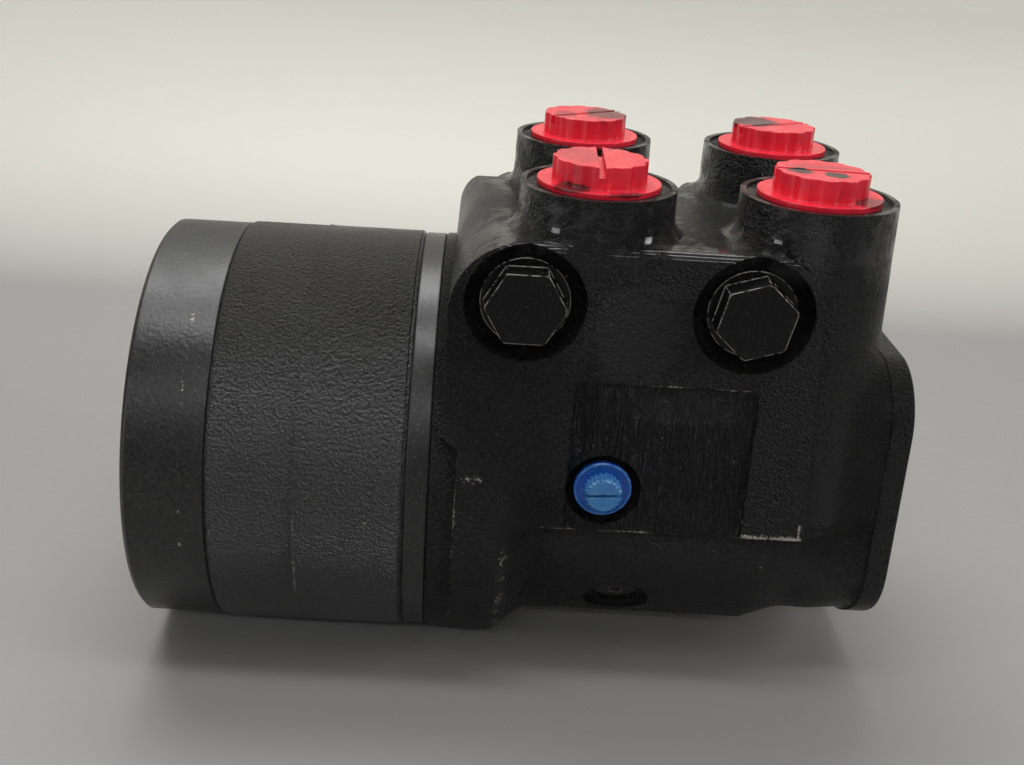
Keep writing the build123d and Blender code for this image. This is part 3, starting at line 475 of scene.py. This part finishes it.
# Painted highlights: the edges of the head and flange are lightened.
edge = group_node(n, edge_wear_and_highlight, {"Place": place, "Radius": 0.0003, "Amount": 1.6})["Mask"]
haze = n.span(n.noise(place, 420.0, 4.0, 0.65), 0.35, 0.70)
base = n.mix(head, (0.004, 0.065, 0.34, 1), n.mix(haze, (0.03, 0.16, 0.42, 1), (0.06, 0.22, 0.44, 1)))
base = n.mix(n.math("MULTIPLY", edge, 0.6), base, (0.20, 0.42, 0.68, 1))
n.put(shader["Base Color"], base)
n.put(shader["Roughness"], n.span(haze, 0.0, 1.0, 0.20, 0.36))
shader["Subsurface Weight"].default_value = 0.10
shader["Subsurface Radius"].default_value = (0.0004, 0.0010, 0.0020)
shader["Subsurface Scale"].default_value = 1.0
soft = n.add("ShaderNodeBevel", {"Radius": 0.0002}, samples=6).outputs[0]
bump = n.add("ShaderNodeBump", {"Height": haze, "Strength": 0.25, "Distance": 0.0003, "Normal": soft})
n.put(shader["Normal"], bump.outputs[0])
sensing_plug.data.materials.clear()
sensing_plug.data.materials.append(material)
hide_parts("sensing_cap")
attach(sensing_plug, "case")

# ---- Floor, light and camera ----------------------------------------------------------------------------
# A pale matt floor that sweeps up into a pale wall behind, under three long ceiling lights and two
# weak windows. The strongest light is a little behind the part, so its shadow falls forwards.
FLOOR_Z = cad_box[0][2] - 0.0003
sweep = bmesh.new()
ends = [sweep.verts.new((x, -4.0, FLOOR_Z)) for x in (-5.0, 5.0)]
rim = [sweep.edges.new(ends)]
SWEEP_Y, SWEEP_R = 0.34, 0.16
steps = [(4.0 + SWEEP_Y, 0.0)]
for k in range(12):
    a0, a1 = math.pi / 24 * k, math.pi / 24 * (k + 1)
    steps.append((SWEEP_R * (math.sin(a1) - math.sin(a0)), SWEEP_R * (math.cos(a0) - math.cos(a1))))
steps.append((0.0, 3.0))
for dy, dz in steps:
    grown = bmesh.ops.extrude_edge_only(sweep, edges=rim)["geom"]
    rim = [item for item in grown if isinstance(item, bmesh.types.BMEdge)]
    bmesh.ops.translate(sweep, verts=[item for item in grown if isinstance(item, bmesh.types.BMVert)],
                        vec=(0, dy, dz))
bmesh.ops.recalc_face_normals(sweep, faces=sweep.faces)
for face in sweep.faces:
    face.smooth = True
mesh = bpy.data.meshes.new("floor")
sweep.to_mesh(mesh)
sweep.free()
floor = bpy.data.objects.new("floor", mesh)
bpy.context.collection.objects.link(floor)
material, n, shader, place = new_material("pale floor")
up_wall = n.span(n.add("ShaderNodeSeparateXYZ", {0: place}).outputs["Y"], SWEEP_Y - 0.05, SWEEP_Y + SWEEP_R)
n.put(shader["Base Color"], n.mix(up_wall, (0.27, 0.265, 0.259, 1), (0.70, 0.69, 0.62, 1)))
shader["Roughness"].default_value = 0.5
floor.data.materials.append(material)

world = bpy.data.worlds.new("studio")
bpy.context.scene.world = world
world.use_nodes = True
n = Nodes(world.node_tree)
way = n.add("ShaderNodeSeparateXYZ", {0: n.add("ShaderNodeTexCoord").outputs["Generated"]}).outputs
overhead = n.math("MULTIPLY", n.span(way["Z"], 0.55, 0.95), 0.5)
eye_height = n.math("MULTIPLY", n.span(way["Y"], -0.2, -0.7), n.span(way["Z"], 0.50, 0.10))
dome = world.node_tree.nodes["Background"]
dome.inputs[0].default_value = (0.98, 0.97, 0.93, 1)
n.put(dome.inputs[1], n.span(n.math("ADD", overhead, n.math("MULTIPLY", eye_height, 0.22)), 0.0, 1.0, 0.025, 0.75))


def soft_light(name, place, target, size, power):
    data = bpy.data.lights.new(name, "AREA")
    data.shape = "RECTANGLE"
    data.size, data.size_y = size
    data.energy = power
    lamp = bpy.data.objects.new(name, data)
    lamp.location = place
    lamp.rotation_euler = (Vector(target) - Vector(place)).to_track_quat("-Z", "Y").to_euler()
    bpy.context.collection.objects.link(lamp)


soft_light("ceiling behind", (-0.25, 0.30, 1.0), (-0.12, 0.05, 0), (0.9, 0.4), 8.5)
soft_light("ceiling above", (-0.15, -0.33, 1.05), (-0.1, 0, 0), (0.9, 0.14), 4.2)
soft_light("ceiling in front", (-0.15, -0.95, 0.62), (-0.1, 0, 0), (0.8, 0.035), 1.8)
soft_light("left window", (-0.95, -0.50, 0.22), (-0.1, 0, 0), (0.22, 0.35), 1.7)
soft_light("right window", (0.80, -0.25, 0.45), (-0.1, 0, 0.02), (0.25, 0.40), 3.4)

# The camera stands in front and above, rolled a little; the shift is the picture's own framing.
YAW, PITCH, ROLL = math.radians(1.289), math.radians(-19.264), math.radians(3.712)
forward = Vector((math.sin(YAW) * math.cos(PITCH), math.cos(YAW) * math.cos(PITCH), math.sin(PITCH)))
level = Vector((math.cos(YAW), -math.sin(YAW), 0.0))
above = level.cross(forward)
right = math.cos(ROLL) * level + math.sin(ROLL) * above
up = -math.sin(ROLL) * level + math.cos(ROLL) * above
camera_data = bpy.data.cameras.new("camera")
camera_data.sensor_width, camera_data.sensor_fit = 36.0, "HORIZONTAL"
camera_data.lens = 43.29
camera_data.shift_x, camera_data.shift_y = 0.0108, -0.0814
camera_data.clip_start = 0.01
camera = bpy.data.objects.new("camera", camera_data)
bpy.context.collection.objects.link(camera)
turned = Matrix((right, up, -forward)).transposed().to_4x4()
camera.matrix_world = Matrix.Translation((-0.1303, -0.3683, 0.1737)) @ turned
bpy.context.scene.camera = camera
bpy.context.scene.view_settings.view_transform = "Standard"
bpy.context.scene.view_settings.exposure = 0.0
